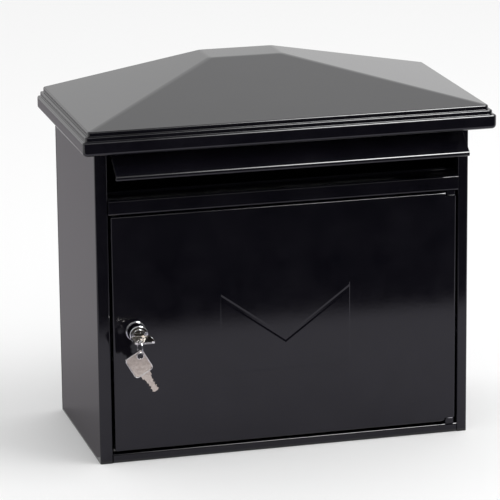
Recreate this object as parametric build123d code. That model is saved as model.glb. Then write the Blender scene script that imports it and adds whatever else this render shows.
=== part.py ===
from build123d import *
import math
import os

# Wall mounted steel mailbox: a hipped rain roof, a letter flap over a slot, and a front door
# with a cam lock that holds its key, from which a spare key hangs on a ring.
# Millimetres. +X points to the right of a person facing the box, +Y into the wall, +Z up.
# The origin is the centre of the four wall holes, on the back face.

# Driving dimensions of the sheet metal
SHEET = 1.0
BEND = 1.8
FIT_GAP = 0.02

# Driving dimensions of the body, heights counted up from its underside
BODY_WIDTH = 360.0
BODY_DEPTH = 176.0
WALL_HEIGHT = 318.0
BACK_HEIGHT = 303.5
FLANGE_LEFT = 12.2
FLANGE_RIGHT = 10.0
FLANGE_RETURN = 11.0
WELD_FLANGE = 16.0
LIP_HEIGHT = 8.8
LIP_RETURN = 10.0
WALL_HOLE_RADIUS = 4.0
WALL_HOLE_SPACING_X = 250.0
WALL_HOLE_SPACING_Z = 160.0
WALL_HOLES_HEIGHT = 130.0

# Driving dimensions of the roof
ROOF_SIDE_OVERHANG = 16.7
ROOF_FRONT_OVERHANG = 34.0
ROOF_LOW = 304.0
FASCIA_TOP = 317.6
MOULDING_STEP = 3.0
MOULDING_LEDGE = 321.6
EAVE_HEIGHT = 325.7
RIDGE_HEIGHT = 352.5
RIDGE_WIDTH = 72.0
RIDGE_DEPTH = 39.7
ROOF_LIP = 12.0
HIP_RADIUS = 30.0

# Driving dimensions of the door, depths counted back from the front plane of the body
DOOR_LEFT = -165.8
DOOR_RIGHT = 167.8
DOOR_LOW = 11.6
DOOR_HIGH = 238.2
DOOR_PROUD = 1.5
DOOR_TRAY = 12.0
HINGE_X = 163.5
HINGE_DEPTH = 2.9
PIN_RADIUS = 2.0
RUNNING_GAP = 0.06

# Driving dimensions of the letter slot and flap
RAIL_LOW = 239.2
RAIL_HIGH = 253.8
RAIL_DEPTH = -1.2
FLAP_LEFT = -167.2
FLAP_RIGHT = 169.4
FLAP_LENGTH = 60.8
FLAP_TILT = 55.0
FLAP_PIVOT_DEPTH = 14.8
FLAP_PIVOT_HEIGHT = 315.6
FLAP_ROLL = 2.6

# Driving dimensions of the lock and keys
LOCK_X = -144.3
LOCK_HEIGHT = 127.8
PLUG_RADIUS = 5.5
CAM_LENGTH = 31.0
KEY_THICKNESS = 1.8
BOW_WIDTH = 19.4
BOW_LENGTH = 22.0
BLADE_LENGTH = 20.2
BLADE_WIDTH = 7.0
KEY_HOLE_RADIUS = 2.7
KEY_HOLE_OFFSET = (5.0, 6.2)
KEY_GAP = 4.6
RING_RADIUS = 5.9
RING_WIRE = 0.65
RING_TURN = 10.0
SPARE_KEY_LEAN = 30.3

# Planes that follow from them
HALF = BODY_WIDTH / 2
INNER = HALF - SHEET
MOUTH_LEFT = HALF - FLANGE_LEFT
MOUTH_RIGHT = HALF - FLANGE_RIGHT
FRONT = -BODY_DEPTH
FLOOR = -WALL_HOLES_HEIGHT
REAR = -SHEET


def up(height):
    """Z of a height above the underside of the body."""
    return FLOOR + height


def back(depth):
    """Y of a depth behind the front plane of the body."""
    return FRONT + depth


def block(x_range, y_range, z_range):
    """Box between two limits on each axis."""
    lows = [min(x_range), min(y_range), min(z_range)]
    sizes = [abs(r[1] - r[0]) for r in (x_range, y_range, z_range)]
    corner = (Align.MIN, Align.MIN, Align.MIN)
    return Pos(*lows) * Box(*sizes, align=corner)


def upright(x, y, radius, z_range):
    """Cylinder along Z."""
    low, high = sorted(z_range)
    return Pos(x, y, low) * Cylinder(radius, high - low, align=(Align.CENTER, Align.CENTER, Align.MIN))


def bored(x, z, radius, y_range):
    """Cylinder along Y."""
    low, high = sorted(y_range)
    turned = Rot(-90, 0, 0) * Cylinder(radius, high - low, align=(Align.CENTER, Align.CENTER, Align.MIN))
    return Pos(x, low, z) * turned


def across(y, z, radius, x_range):
    """Cylinder along X."""
    low, high = sorted(x_range)
    turned = Rot(0, 90, 0) * Cylinder(radius, high - low, align=(Align.CENTER, Align.CENTER, Align.MIN))
    return Pos(low, y, z) * turned


def folded(points, side, thickness=SHEET, bend=BEND):
    """Section of a folded sheet whose outer face runs through the points."""
    outer = FilletPolyline(*points, radius=bend)
    return make_face(offset(outer, amount=thickness, side=side).edges())


def mirrored(piece):
    """The same piece on the other side of the box."""
    return mirror(piece, about=Plane.YZ)


pieces = {}

# Back panel with its four wall holes
back_panel = block((-HALF, HALF), (REAR, 0), (up(0), up(BACK_HEIGHT)))
for x in (-WALL_HOLE_SPACING_X / 2, WALL_HOLE_SPACING_X / 2):
    for z in (-WALL_HOLE_SPACING_Z / 2, WALL_HOLE_SPACING_Z / 2):
        back_panel -= bored(x, z, WALL_HOLE_RADIUS, (REAR, 0))
pieces["back_panel"] = back_panel

# Side panels: return, front flange, wall and rear flange in one sheet, with a top flange for the roof
ROOF_SCREW_X = 171.5
ROOF_SCREW_DEPTHS = (60.0, 140.0)
ROOF_SCREW_RADIUS = 2.4
SCREW_HOLE_RADIUS = 2.6
TOP_FLANGE_DEPTHS = (40.0, 165.0)


def side_panel(mouth):
    """Right-hand side panel whose front flange ends at the mouth of the box."""
    section = folded(
        [(mouth, back(FLANGE_RETURN)), (mouth, FRONT), (HALF, FRONT),
         (HALF, REAR), (HALF - WELD_FLANGE, REAR)],
        Side.LEFT,
    )
    panel = Pos(0, 0, FLOOR) * extrude(section, WALL_HEIGHT)
    panel += block(
        (HALF - WELD_FLANGE, INNER),
        [back(depth) for depth in TOP_FLANGE_DEPTHS],
        (up(WALL_HEIGHT - SHEET), up(WALL_HEIGHT)),
    )
    for depth in ROOF_SCREW_DEPTHS:
        panel -= upright(
            ROOF_SCREW_X, back(depth), SCREW_HOLE_RADIUS, (up(WALL_HEIGHT - SHEET), up(WALL_HEIGHT))
        )
    return panel


pieces["side_panel_right"] = side_panel(MOUTH_RIGHT)
pieces["side_panel_left"] = mirrored(side_panel(MOUTH_LEFT))

# Floor tray: front lip with a rounded top fold, floor, side and rear weld flanges, drain holes
TRAY_FLANGE = 12.0
SEAM = 0.2
LIP_LEFT = SEAM - MOUTH_LEFT
LIP_RIGHT = MOUTH_RIGHT - SEAM
LIP_JOIN = FLANGE_RETURN + 3.0
TRAY_HALF = INNER - FIT_GAP
DRAIN_X = 120.0
DRAIN_RADIUS = 3.0

lip_section = Plane.YZ * folded(
    [(back(LIP_RETURN), up(LIP_HEIGHT)), (FRONT, up(LIP_HEIGHT)), (FRONT, up(0)), (back(LIP_JOIN), up(0))],
    Side.LEFT,
)
floor_tray = Pos(LIP_LEFT, 0, 0) * extrude(lip_section, LIP_RIGHT - LIP_LEFT)
tray_front = back(FLANGE_RETURN + 1)
tray_rear = REAR - SHEET - BEND
floor_tray += block((-TRAY_HALF, TRAY_HALF), (tray_front, tray_rear), (up(0), up(SHEET)))
for side in (-1, 1):
    floor_tray += block(
        (side * (TRAY_HALF - SHEET), side * TRAY_HALF),
        (back(LIP_JOIN), tray_rear),
        (up(0), up(TRAY_FLANGE)),
    )
    floor_tray -= upright(side * DRAIN_X, back(BODY_DEPTH / 2), DRAIN_RADIUS, (up(0), up(SHEET)))
rear_flange_half = HALF - WELD_FLANGE - SEAM
floor_tray += block((-rear_flange_half, rear_flange_half), (tray_rear - SHEET, REAR), (up(0), up(SHEET)))
floor_tray += block((-rear_flange_half, rear_flange_half), (REAR - SHEET, REAR), (up(0), up(TRAY_FLANGE)))
pieces["floor_tray"] = floor_tray

# Roof cap: rounded fascia, two moulding steps, a low hip with a flat top, and a flat back
ROOF_HALF = HALF + ROOF_SIDE_OVERHANG
ROOF_FRONT = FRONT - ROOF_FRONT_OVERHANG
EAVE_HALF = ROOF_HALF - 2 * MOULDING_STEP
EAVE_FRONT = ROOF_FRONT + 2 * MOULDING_STEP
SIDE_SLOPE = (RIDGE_HEIGHT - EAVE_HEIGHT) / (EAVE_HALF - RIDGE_WIDTH / 2)
FRONT_SLOPE = (RIDGE_HEIGHT - EAVE_HEIGHT) / (-EAVE_FRONT - RIDGE_DEPTH)
FASCIA_CORNER = 4.6
FASCIA_UNDER = 4.0
FASCIA_SHOULDER = 2.0
LEDGE_ROUND = 1.2
EAVE_ROUND = 1.3
HIP_BASE = EAVE_HEIGHT - 6.0


def roof_tier(step, low, high, inset):
    """Slab of the roof's plan, drawn in by a moulding step, with rounded front corners."""
    half = ROOF_HALF - step - inset
    front = ROOF_FRONT + step + inset
    slab = block((-half, half), (front, -inset), (up(low), up(high)))
    corners = slab.edges().filter_by(Axis.Z).group_by(Axis.Y)[0]
    return fillet(corners, FASCIA_CORNER - step / 2 - inset)


def rim(slab, height, inset):
    """Edges of a slab at a height, without the ones on the flat back."""
    level = [e for e in slab.edges() if abs(e.center().Z - up(height)) < 0.01]
    return [e for e in level if e.center().Y < -inset - 0.5]


def hip_mass(inset):
    """Frustum of the three slopes and the flat top, reaching past the eaves."""
    drop = inset * math.sqrt(1 + SIDE_SLOPE**2)
    reach = EAVE_HEIGHT - HIP_BASE
    base_half = EAVE_HALF + reach / SIDE_SLOPE
    base_front = EAVE_FRONT - reach / FRONT_SLOPE
    base = Pos(0, base_front / 2, up(HIP_BASE - drop)) * Rectangle(2 * base_half, -base_front)
    top = Pos(0, -RIDGE_DEPTH / 2, up(RIDGE_HEIGHT - drop)) * Rectangle(RIDGE_WIDTH, RIDGE_DEPTH)
    frustum = loft([base, top], ruled=True)
    folds = [e for e in frustum.edges() if e.center().Z > up(HIP_BASE) and e.center().Y < -0.5]
    return fillet(folds, HIP_RADIUS - inset)


def roof_mass(inset):
    """Full form of the roof, drawn in by inset on every face."""
    fascia_low = ROOF_LOW + inset
    fascia_high = FASCIA_TOP - inset
    ledge = MOULDING_LEDGE - inset
    fascia = roof_tier(0, fascia_low, fascia_high, inset)
    fascia = fillet(rim(fascia, fascia_low, inset), FASCIA_UNDER - inset)
    fascia = fillet(rim(fascia, fascia_high, inset), FASCIA_SHOULDER)
    step = roof_tier(MOULDING_STEP, fascia_high - 3, ledge, inset)
    step = fillet(rim(step, ledge, inset), LEDGE_ROUND)
    crown = roof_tier(2 * MOULDING_STEP, ledge - 1, RIDGE_HEIGHT + 5, inset) & hip_mass(inset)
    return fascia + step + crown


roof_cap = roof_mass(0) - roof_mass(SHEET)
roof_cap -= block(
    (ROOF_LIP - ROOF_HALF, ROOF_HALF - ROOF_LIP),
    (ROOF_FRONT + ROOF_LIP, REAR),
    (up(ROOF_LOW - 1), up(ROOF_LOW + 2)),
)
pieces["roof_cap"] = roof_cap

# Roof brackets: folded strips from the walls' top flanges up to the underside of the side slopes
BRACKET_SHEET = 1.5
BRACKET_WEB = 165.0
BRACKET_INNER = 148.0
ROOF_SEAT_GAP = 0.1


def roof_underside(x):
    """Height of the underside of a side slope."""
    drop = SHEET * math.sqrt(1 + SIDE_SLOPE**2)
    return EAVE_HEIGHT - drop + (EAVE_HALF - x) * SIDE_SLOPE


def seat(x):
    """Height of the lower face of a bracket's sloping leg, which lies just under the roof."""
    drop = BRACKET_SHEET * math.sqrt(1 + SIDE_SLOPE**2)
    return up(roof_underside(x) - ROOF_SEAT_GAP - drop)


bracket_section = Plane.XZ * folded(
    [(INNER, up(WALL_HEIGHT)), (BRACKET_WEB, up(WALL_HEIGHT)), (BRACKET_WEB, seat(BRACKET_WEB)),
     (BRACKET_INNER, seat(BRACKET_INNER))],
    Side.RIGHT, BRACKET_SHEET,
)
bracket_length = TOP_FLANGE_DEPTHS[1] - TOP_FLANGE_DEPTHS[0]
roof_bracket = Pos(0, back(TOP_FLANGE_DEPTHS[1]), 0) * extrude(bracket_section, bracket_length)
for depth in ROOF_SCREW_DEPTHS:
    roof_bracket -= upright(
        ROOF_SCREW_X, back(depth), SCREW_HOLE_RADIUS, (up(WALL_HEIGHT), up(WALL_HEIGHT + BRACKET_SHEET))
    )
pieces["roof_bracket_right"] = roof_bracket
pieces["roof_bracket_left"] = mirrored(roof_bracket)

# Roof screws with their heads inside the box, and nuts on the brackets
SCREW_HEAD_RADIUS = 4.6
SCREW_END = 0.8
SCREW_HEAD_HEIGHT = 3.0
NUT_RADIUS = 4.5
NUT_HEIGHT = 4.0

screw_low = up(WALL_HEIGHT - SHEET) - FIT_GAP
nut_low = up(WALL_HEIGHT + BRACKET_SHEET) + FIT_GAP
roof_screws = []
roof_nuts = []
for side in (-1, 1):
    for depth in ROOF_SCREW_DEPTHS:
        x = side * ROOF_SCREW_X
        y = back(depth)
        head = upright(x, y, SCREW_HEAD_RADIUS, (screw_low - SCREW_HEAD_HEIGHT, screw_low))
        head = fillet(head.edges().group_by(Axis.Z)[0], SCREW_HEAD_HEIGHT / 2)
        shank = upright(x, y, ROOF_SCREW_RADIUS, (screw_low, nut_low + NUT_HEIGHT + SCREW_END))
        roof_screws.append(head + shank)
        nut = Pos(x, y, nut_low) * extrude(RegularPolygon(NUT_RADIUS, 6), NUT_HEIGHT)
        roof_nuts.append(nut - upright(x, y, ROOF_SCREW_RADIUS + FIT_GAP, (nut_low, nut_low + NUT_HEIGHT)))
pieces["roof_screws"] = Compound(roof_screws)
pieces["roof_nuts"] = Compound(roof_nuts)

# Slot rail: folded channel above the door, with an upstand behind the flap and a tab at each end
RAIL_LIP_DEPTH = 20.5
RAIL_LIP_HEIGHT = 257.0
RAIL_FLANGE = 14.0
RAIL_LEFT = FIT_GAP - MOUTH_LEFT
RAIL_RIGHT = MOUTH_RIGHT - FIT_GAP
RAIL_TAB_DEPTH = 10.5
RAIL_TAB_INSET = 2.5
RIVET_RADIUS = 1.6
RIVET_HEAD_RADIUS = 3.2
RIVET_HEAD = 0.9
RIVET_DEPTH = 6.5
rivet_height = (RAIL_LOW + RAIL_HIGH) / 2

rail_section = Plane.YZ * folded(
    [(back(RAIL_FLANGE), up(RAIL_LOW)), (back(RAIL_DEPTH), up(RAIL_LOW)), (back(RAIL_DEPTH), up(RAIL_HIGH)),
     (back(RAIL_LIP_DEPTH), up(RAIL_HIGH)), (back(RAIL_LIP_DEPTH), up(RAIL_LIP_HEIGHT))],
    Side.RIGHT,
)
slot_rail = Pos(RAIL_LEFT, 0, 0) * extrude(rail_section, RAIL_RIGHT - RAIL_LEFT)
rail_rivets = []
for side, rail_end in ((-1, RAIL_LEFT), (1, RAIL_RIGHT)):
    mouth = rail_end + side * FIT_GAP
    slot_rail += block(
        (rail_end - side * SHEET, rail_end),
        (back(RAIL_DEPTH + SHEET / 2), back(RAIL_TAB_DEPTH)),
        (up(RAIL_LOW + RAIL_TAB_INSET), up(RAIL_HIGH - RAIL_TAB_INSET)),
    )
    rivet_hole = across(
        back(RIVET_DEPTH), up(rivet_height), RIVET_RADIUS + FIT_GAP,
        (mouth - 2 * SHEET, mouth + 2 * SHEET),
    )
    slot_rail -= rivet_hole
    panel = "side_panel_right" if side > 0 else "side_panel_left"
    pieces[panel] -= rivet_hole
    inner_face = rail_end - side * (SHEET + FIT_GAP)
    outer_face = mouth + side * (SHEET + FIT_GAP)
    rivet = across(back(RIVET_DEPTH), up(rivet_height), RIVET_RADIUS, (inner_face, outer_face))
    for face, outward in ((inner_face, -side), (outer_face, side)):
        head_range = (face, face + outward * RIVET_HEAD)
        rivet += across(back(RIVET_DEPTH), up(rivet_height), RIVET_HEAD_RADIUS, head_range)
    rail_rivets.append(rivet)
pieces["slot_rail"] = slot_rail
pieces["rail_rivets"] = Compound(rail_rivets)

# Strike plate: angle welded inside the left wall, behind the free edge of the door
STRIKE_SHEET = 1.2
STRIKE_DEPTH = 13.6
STRIKE_REACH = 161.0
STRIKE_LEG = 32.0
STRIKE_HALF_HEIGHT = 25.0

strike_section = folded(
    [(-STRIKE_REACH, back(STRIKE_DEPTH)), (-INNER, back(STRIKE_DEPTH)), (-INNER, back(STRIKE_LEG))],
    Side.RIGHT, STRIKE_SHEET,
)
strike = extrude(strike_section, STRIKE_HALF_HEIGHT, both=True)
pieces["strike_plate"] = Pos(0, 0, up(LOCK_HEIGHT)) * strike

# Door hinge: a welded block in a notch at each right-hand corner of the door, a pin pressed into it, a washer
NOTCH_LEFT = 157.3
NOTCH_HEIGHT = 3.6
NOTCH_CLEARANCE = 0.1
TURNING_GAP = 0.15
BLOCK_X = (158.6, 167.0)
BLOCK_DEPTHS = (-0.4, 9.0)
PIN_REACH = 4.0
WASHER_RADIUS = 4.0
WASHER = 0.8
HINGE_PLATE = 1.5
HINGE_PLATE_LEG = 11.0
BLOCK_ROUND = 1.0
PIN_CHAMFER = 0.5
hinge_y = back(HINGE_DEPTH)
block_y = [back(depth) for depth in BLOCK_DEPTHS]
hinge_washers = []


def hinge_end(inward, seat_height, door_edge):
    """Block, pin, washer and door plate at one end of the door; inward is +1 at the bottom, -1 at the top."""
    plate_face = up(door_edge) + inward * (NOTCH_HEIGHT + NOTCH_CLEARANCE)
    washer_face = plate_face - inward * TURNING_GAP
    block_face = washer_face - inward * WASHER
    seat_face = up(seat_height) + inward * FIT_GAP
    hole = upright(HINGE_X, hinge_y, PIN_RADIUS + FIT_GAP, (seat_face, block_face))
    hinge_block = block(BLOCK_X, block_y, (seat_face, block_face)) - hole
    hinge_block = fillet(hinge_block.edges().filter_by(Axis.Z).group_by(Axis.Y)[0], BLOCK_ROUND)
    pin_end = plate_face + inward * PIN_REACH
    pin = upright(HINGE_X, hinge_y, PIN_RADIUS, (seat_face, pin_end))
    pin = chamfer(pin.edges().group_by(Axis.Z)[-1 if inward > 0 else 0], PIN_CHAMFER)
    ring = upright(HINGE_X, hinge_y, WASHER_RADIUS, (block_face + inward * FIT_GAP, washer_face))
    hinge_washers.append(ring - upright(HINGE_X, hinge_y, PIN_RADIUS + FIT_GAP, (block_face, washer_face)))
    plate = block(
        (NOTCH_LEFT - 1, DOOR_RIGHT - SHEET - FIT_GAP),
        (back(SHEET - DOOR_PROUD + FIT_GAP), block_y[1]),
        (plate_face, plate_face + inward * HINGE_PLATE),
    )
    inner_corner = plate.edges().filter_by(Axis.Z).sort_by(lambda e: e.center().X - e.center().Y)[-1]
    plate = fillet(inner_corner, BEND)
    plate += block(
        (DOOR_RIGHT - 2 * SHEET - FIT_GAP, DOOR_RIGHT - SHEET - FIT_GAP),
        (back(BEND + SHEET - DOOR_PROUD), block_y[1]),
        (plate_face, plate_face + inward * HINGE_PLATE_LEG),
    )
    pin_hole_range = (plate_face, plate_face + inward * HINGE_PLATE)
    plate -= upright(HINGE_X, hinge_y, PIN_RADIUS + RUNNING_GAP, pin_hole_range)
    return hinge_block, pin, plate


for end, inward, seat_height, door_edge in (
    ("lower", 1, LIP_HEIGHT, DOOR_LOW),
    ("upper", -1, RAIL_LOW, DOOR_HIGH),
):
    hinge_block, pin, plate = hinge_end(inward, seat_height, door_edge)
    pieces[f"{end}_hinge_block"] = hinge_block
    pieces[f"{end}_hinge_pin"] = pin
    pieces[f"door_hinge_plate_{end}"] = plate
pieces["hinge_washers"] = Compound(hinge_washers)

# Flap pivot: a joggled lug on each side wall, a rod through both and a push-on clip at each end
LUG_SHEET = 1.5
LUG_FACE = 173.0
LUG_DEPTHS = (7.8, 21.8)
LUG_FOOT = (294.0, 304.0)
LUG_TOP = 324.5
LUG_JOGGLE = 5.0
ROD_HALF = 176.0
CLIP_RADIUS = 4.0
CLIP_LENGTH = 2.2
CLIP_GAP = 0.1
pivot_y = back(FLAP_PIVOT_DEPTH)
pivot_z = up(FLAP_PIVOT_HEIGHT)

lug_outer = LUG_FACE + LUG_SHEET
lug_section = Plane.XZ * folded(
    [(INNER, up(LUG_FOOT[0])), (INNER, up(LUG_FOOT[1])), (lug_outer, up(LUG_FOOT[1] + LUG_JOGGLE)),
     (lug_outer, up(LUG_TOP))],
    Side.LEFT, LUG_SHEET,
)
flap_lug = Pos(0, back(LUG_DEPTHS[1]), 0) * extrude(lug_section, LUG_DEPTHS[1] - LUG_DEPTHS[0])
flap_lug -= across(pivot_y, pivot_z, PIN_RADIUS + FIT_GAP, (LUG_FACE - 1, lug_outer + 1))
pieces["flap_lug_right"] = flap_lug
pieces["flap_lug_left"] = mirrored(flap_lug)
pieces["flap_rod"] = across(pivot_y, pivot_z, PIN_RADIUS, (-ROD_HALF, ROD_HALF))
clip_start = lug_outer + CLIP_GAP
clip = across(pivot_y, pivot_z, CLIP_RADIUS, (clip_start, clip_start + CLIP_LENGTH))
clip -= across(pivot_y, pivot_z, PIN_RADIUS + FIT_GAP, (clip_start, ROD_HALF + FIT_GAP))
pieces["flap_rod_clips"] = Compound([clip, mirrored(clip)])

# Letter flap: drawn hanging shut below its pivot, then swung open by its tilt
KNUCKLE_GAP_ANGLE = 50.0
knuckle_inner = PIN_RADIUS + RUNNING_GAP
knuckle_outer = knuckle_inner + SHEET
ROLL_RETURN = 3.0
ROLL_TURN = 160.0
roll_turn = math.radians(ROLL_TURN)
roll_low = FLAP_ROLL - FLAP_LENGTH
roll_end = (
    FLAP_ROLL * (1 - math.cos(roll_turn)) - knuckle_outer + ROLL_RETURN * math.sin(roll_turn),
    roll_low - FLAP_ROLL * math.sin(roll_turn) - ROLL_RETURN * math.cos(roll_turn),
)
flap_plate = Line((-knuckle_outer, 0), (-knuckle_outer, roll_low))
flap_roll = CenterArc((FLAP_ROLL - knuckle_outer, roll_low), FLAP_ROLL, 180, ROLL_TURN)
flap_edge = Line(flap_roll @ 1, roll_end)
flap_line = Wire([flap_plate, flap_roll, flap_edge])
flap_section = make_face(offset(flap_line, amount=SHEET, side=Side.LEFT).edges())
knuckle = Circle(knuckle_outer) - Circle(knuckle_inner)
knuckle -= Rot(0, 0, -90) * Polygon(
    (0, 0), (2 * knuckle_outer, 0),
    (2 * knuckle_outer * math.cos(math.radians(KNUCKLE_GAP_ANGLE)),
     2 * knuckle_outer * math.sin(math.radians(KNUCKLE_GAP_ANGLE))),
    align=None,
)
flap_hanging = extrude(Plane.YZ * (flap_section + knuckle), FLAP_RIGHT - FLAP_LEFT)
pieces["letter_flap"] = Pos(FLAP_LEFT, pivot_y, pivot_z) * Rot(-FLAP_TILT, 0, 0) * flap_hanging

# Door panel: folded tray with rounded edges, a pressed envelope sign, hinge notches and the lock's hole
DOOR_CORNER = 1.5
SIGN_HALF = 63.0
SIGN_LOW = 79.0
SIGN_HIGH = 159.0
SIGN_FOLD = 108.0
SIGN_PRESS = 0.3
PRESS_TAPER = 68.0
FOLD_HALF = 2.6
FOLD_FLOOR = FOLD_HALF / 3
FOLD_DEPTH = 0.6
FOLD_START = 5.0
FOLD_OVERLAP = 0.1
LOCK_HOLE_RADIUS = 8.1
door_front = back(-DOOR_PROUD)
lock_z = up(LOCK_HEIGHT)


def pressed(outline, face, rise):
    """Tapered pad standing forward of a face of the door."""
    plane = Plane(origin=(0, face, 0), x_dir=(1, 0, 0), z_dir=(0, -1, 0))
    return extrude(plane * outline, rise, taper=PRESS_TAPER)


def fold_line(side, face):
    """Shallow trough along one arm of the envelope's V, sunk into a face of the door."""
    start = Vector(side * SIGN_HALF, face, up(SIGN_HIGH - FOLD_START))
    arm = Vector(0, face, up(SIGN_FOLD)) - start
    plane = Plane(origin=start, x_dir=Vector(-arm.Z, 0, arm.X), z_dir=arm)
    reach = FOLD_HALF + (FOLD_HALF - FOLD_FLOOR) * FOLD_OVERLAP / FOLD_DEPTH
    trough = Polygon(
        (-reach, FOLD_OVERLAP), (reach, FOLD_OVERLAP), (FOLD_FLOOR, -FOLD_DEPTH), (-FOLD_FLOOR, -FOLD_DEPTH),
        align=None,
    )
    return extrude(plane * trough, arm.length + FOLD_HALF)


door_panel = block(
    (DOOR_LEFT, DOOR_RIGHT), (door_front, door_front + DOOR_TRAY), (up(DOOR_LOW), up(DOOR_HIGH))
)
door_panel = fillet(door_panel.edges().filter_by(Axis.Y), DOOR_CORNER)
door_panel = fillet(door_panel.faces().sort_by(Axis.Y)[0].edges(), BEND)
door_panel = offset(door_panel, -SHEET, openings=door_panel.faces().sort_by(Axis.Y)[-1])
sign_middle = up((SIGN_LOW + SIGN_HIGH) / 2)
sign = Pos(0, sign_middle) * Rectangle(2 * SIGN_HALF, SIGN_HIGH - SIGN_LOW)
door_panel += pressed(sign, door_front, SIGN_PRESS)
door_panel -= pressed(sign, door_front + SHEET, SIGN_PRESS)
for side in (-1, 1):
    door_panel += fold_line(side, door_front + SHEET - SIGN_PRESS)
    door_panel -= fold_line(side, door_front - SIGN_PRESS)
for edge, inward in ((DOOR_LOW, 1), (DOOR_HIGH, -1)):
    door_panel -= block(
        (NOTCH_LEFT, DOOR_RIGHT + 1),
        (door_front - 1, door_front + DOOR_TRAY + 1),
        (up(edge - inward), up(edge + inward * NOTCH_HEIGHT)),
    )
door_panel -= bored(LOCK_X, lock_z, LOCK_HOLE_RADIUS, (door_front - 1, door_front + 2 * SHEET))
pieces["door_panel"] = door_panel

# Cam lock: chromed barrel with a thin rosette, clamped behind the door by a washer and a nut
ROSETTE_RADIUS = 9.6
ROSETTE = 1.0
BARREL_RADIUS = 8.8
BARREL_LENGTH = 14.0
THREAD_RADIUS = 7.95
HOUSING_END = 14.8
ROSETTE_ROUND = 0.6
BARREL_ROUND = 1.3
LOCK_WASHER_RADIUS = 10.6
LOCK_NUT_RADIUS = 11.4
LOCK_NUT = 5.0
lock_y = door_front - BARREL_LENGTH
bore_radius = PLUG_RADIUS + RUNNING_GAP

rosette = bored(LOCK_X, lock_z, ROSETTE_RADIUS, (door_front - ROSETTE, door_front))
rosette = fillet(rosette.edges().group_by(Axis.Y)[0], ROSETTE_ROUND)
barrel = bored(LOCK_X, lock_z, BARREL_RADIUS, (lock_y, door_front))
barrel = fillet(barrel.edges().group_by(Axis.Y)[0], BARREL_ROUND)
lock_housing = rosette + barrel + bored(LOCK_X, lock_z, THREAD_RADIUS, (door_front, back(HOUSING_END)))
lock_housing -= bored(LOCK_X, lock_z, bore_radius, (lock_y - 1, back(HOUSING_END + 1)))
pieces["lock_housing"] = lock_housing
washer_y = door_front + SHEET + FIT_GAP
nut_y = washer_y + WASHER + FIT_GAP
lock_thread = bored(LOCK_X, lock_z, THREAD_RADIUS + FIT_GAP, (washer_y, nut_y + LOCK_NUT))
pieces["lock_washer"] = bored(LOCK_X, lock_z, LOCK_WASHER_RADIUS, (washer_y, washer_y + WASHER)) - lock_thread
lock_nut = Pos(LOCK_X, nut_y, lock_z) * Rot(-90, 0, 0) * extrude(RegularPolygon(LOCK_NUT_RADIUS, 6), LOCK_NUT)
pieces["lock_nut"] = lock_nut - lock_thread

# Lock plug with its keyway and wafers, and the cam screwed to its square tail
PLUG_PROUD = 0.4
PLUG_ROUND = 0.4
PLUG_END = 15.2
TAIL = 7.9
TAIL_END = 17.5
KEYWAY_WIDTH = 8.0
KEYWAY_HEIGHT = 2.4
KEYWAY_END = 8.0
WAFER_DEPTHS = (-11.0, -7.5, -4.0, -0.5)
WAFER_SIZE = (10.4, 1.1, 5.0)
WAFER_GAP = 0.1
WAFER_WINDOW = (8.4, 3.0, 2.6)
CAM_SHEET = 2.0
CAM_WIDTH = 14.0
CAM_CORNER = 6.3
CAM_SCREW_RADIUS = 2.0
CAM_SCREW_HEAD = (4.0, 2.4)
CAM_SCREW_START = 10.0
CAM_WASHER_RADIUS = 6.0
CAM_WASHER = 1.1
plug_y = lock_y - PLUG_PROUD

plug = bored(LOCK_X, lock_z, PLUG_RADIUS, (plug_y, back(PLUG_END)))
plug = fillet(plug.edges().group_by(Axis.Y)[0], PLUG_ROUND)
half_tail = TAIL / 2
plug += block(
    (LOCK_X - half_tail, LOCK_X + half_tail),
    (back(PLUG_END), back(TAIL_END)),
    (lock_z - half_tail, lock_z + half_tail),
)
plug -= block(
    (LOCK_X - KEYWAY_WIDTH / 2, LOCK_X + KEYWAY_WIDTH / 2),
    (plug_y - 1, back(KEYWAY_END)),
    (lock_z - KEYWAY_HEIGHT / 2, lock_z + KEYWAY_HEIGHT / 2),
)
window = Box(*WAFER_WINDOW)
lock_wafers = []
for depth in WAFER_DEPTHS:
    place = Pos(LOCK_X, back(depth), lock_z)
    plug -= place * Box(*(size + 2 * WAFER_GAP for size in WAFER_SIZE))
    wafer = place * (Box(*WAFER_SIZE) - window)
    lock_wafers.append(wafer & bored(LOCK_X, lock_z, PLUG_RADIUS - WAFER_GAP, (plug_y, back(PLUG_END))))
screw_y = back(TAIL_END + CAM_WASHER)
plug -= bored(LOCK_X, lock_z, CAM_SCREW_RADIUS + FIT_GAP, (back(CAM_SCREW_START - SHEET / 2), back(TAIL_END)))
pieces["lock_plug"] = plug
pieces["lock_wafers"] = Compound(lock_wafers)

cam_outline = Pos(0, -CAM_LENGTH / 2 + CAM_WIDTH / 4) * RectangleRounded(
    CAM_WIDTH, CAM_LENGTH + CAM_WIDTH / 2, CAM_CORNER
)
cam_outline -= Rectangle(TAIL + 2 * FIT_GAP, TAIL + 2 * FIT_GAP)
cam = extrude(Plane.XZ * cam_outline, -CAM_SHEET)
pieces["lock_cam"] = Pos(LOCK_X, back(PLUG_END + FIT_GAP), lock_z) * cam
cam_washer = bored(LOCK_X, lock_z, CAM_WASHER_RADIUS, (back(TAIL_END + FIT_GAP), screw_y - FIT_GAP))
cam_washer -= bored(LOCK_X, lock_z, CAM_SCREW_RADIUS + FIT_GAP, (back(TAIL_END), screw_y))
pieces["cam_washer"] = cam_washer
cam_screw = bored(LOCK_X, lock_z, CAM_SCREW_HEAD[0], (screw_y, screw_y + CAM_SCREW_HEAD[1]))
cam_screw = fillet(cam_screw.edges().group_by(Axis.Y)[-1], CAM_SCREW_HEAD[1] / 2)
cam_screw += bored(LOCK_X, lock_z, CAM_SCREW_RADIUS, (back(CAM_SCREW_START), screw_y))
pieces["cam_screw"] = cam_screw

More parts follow.
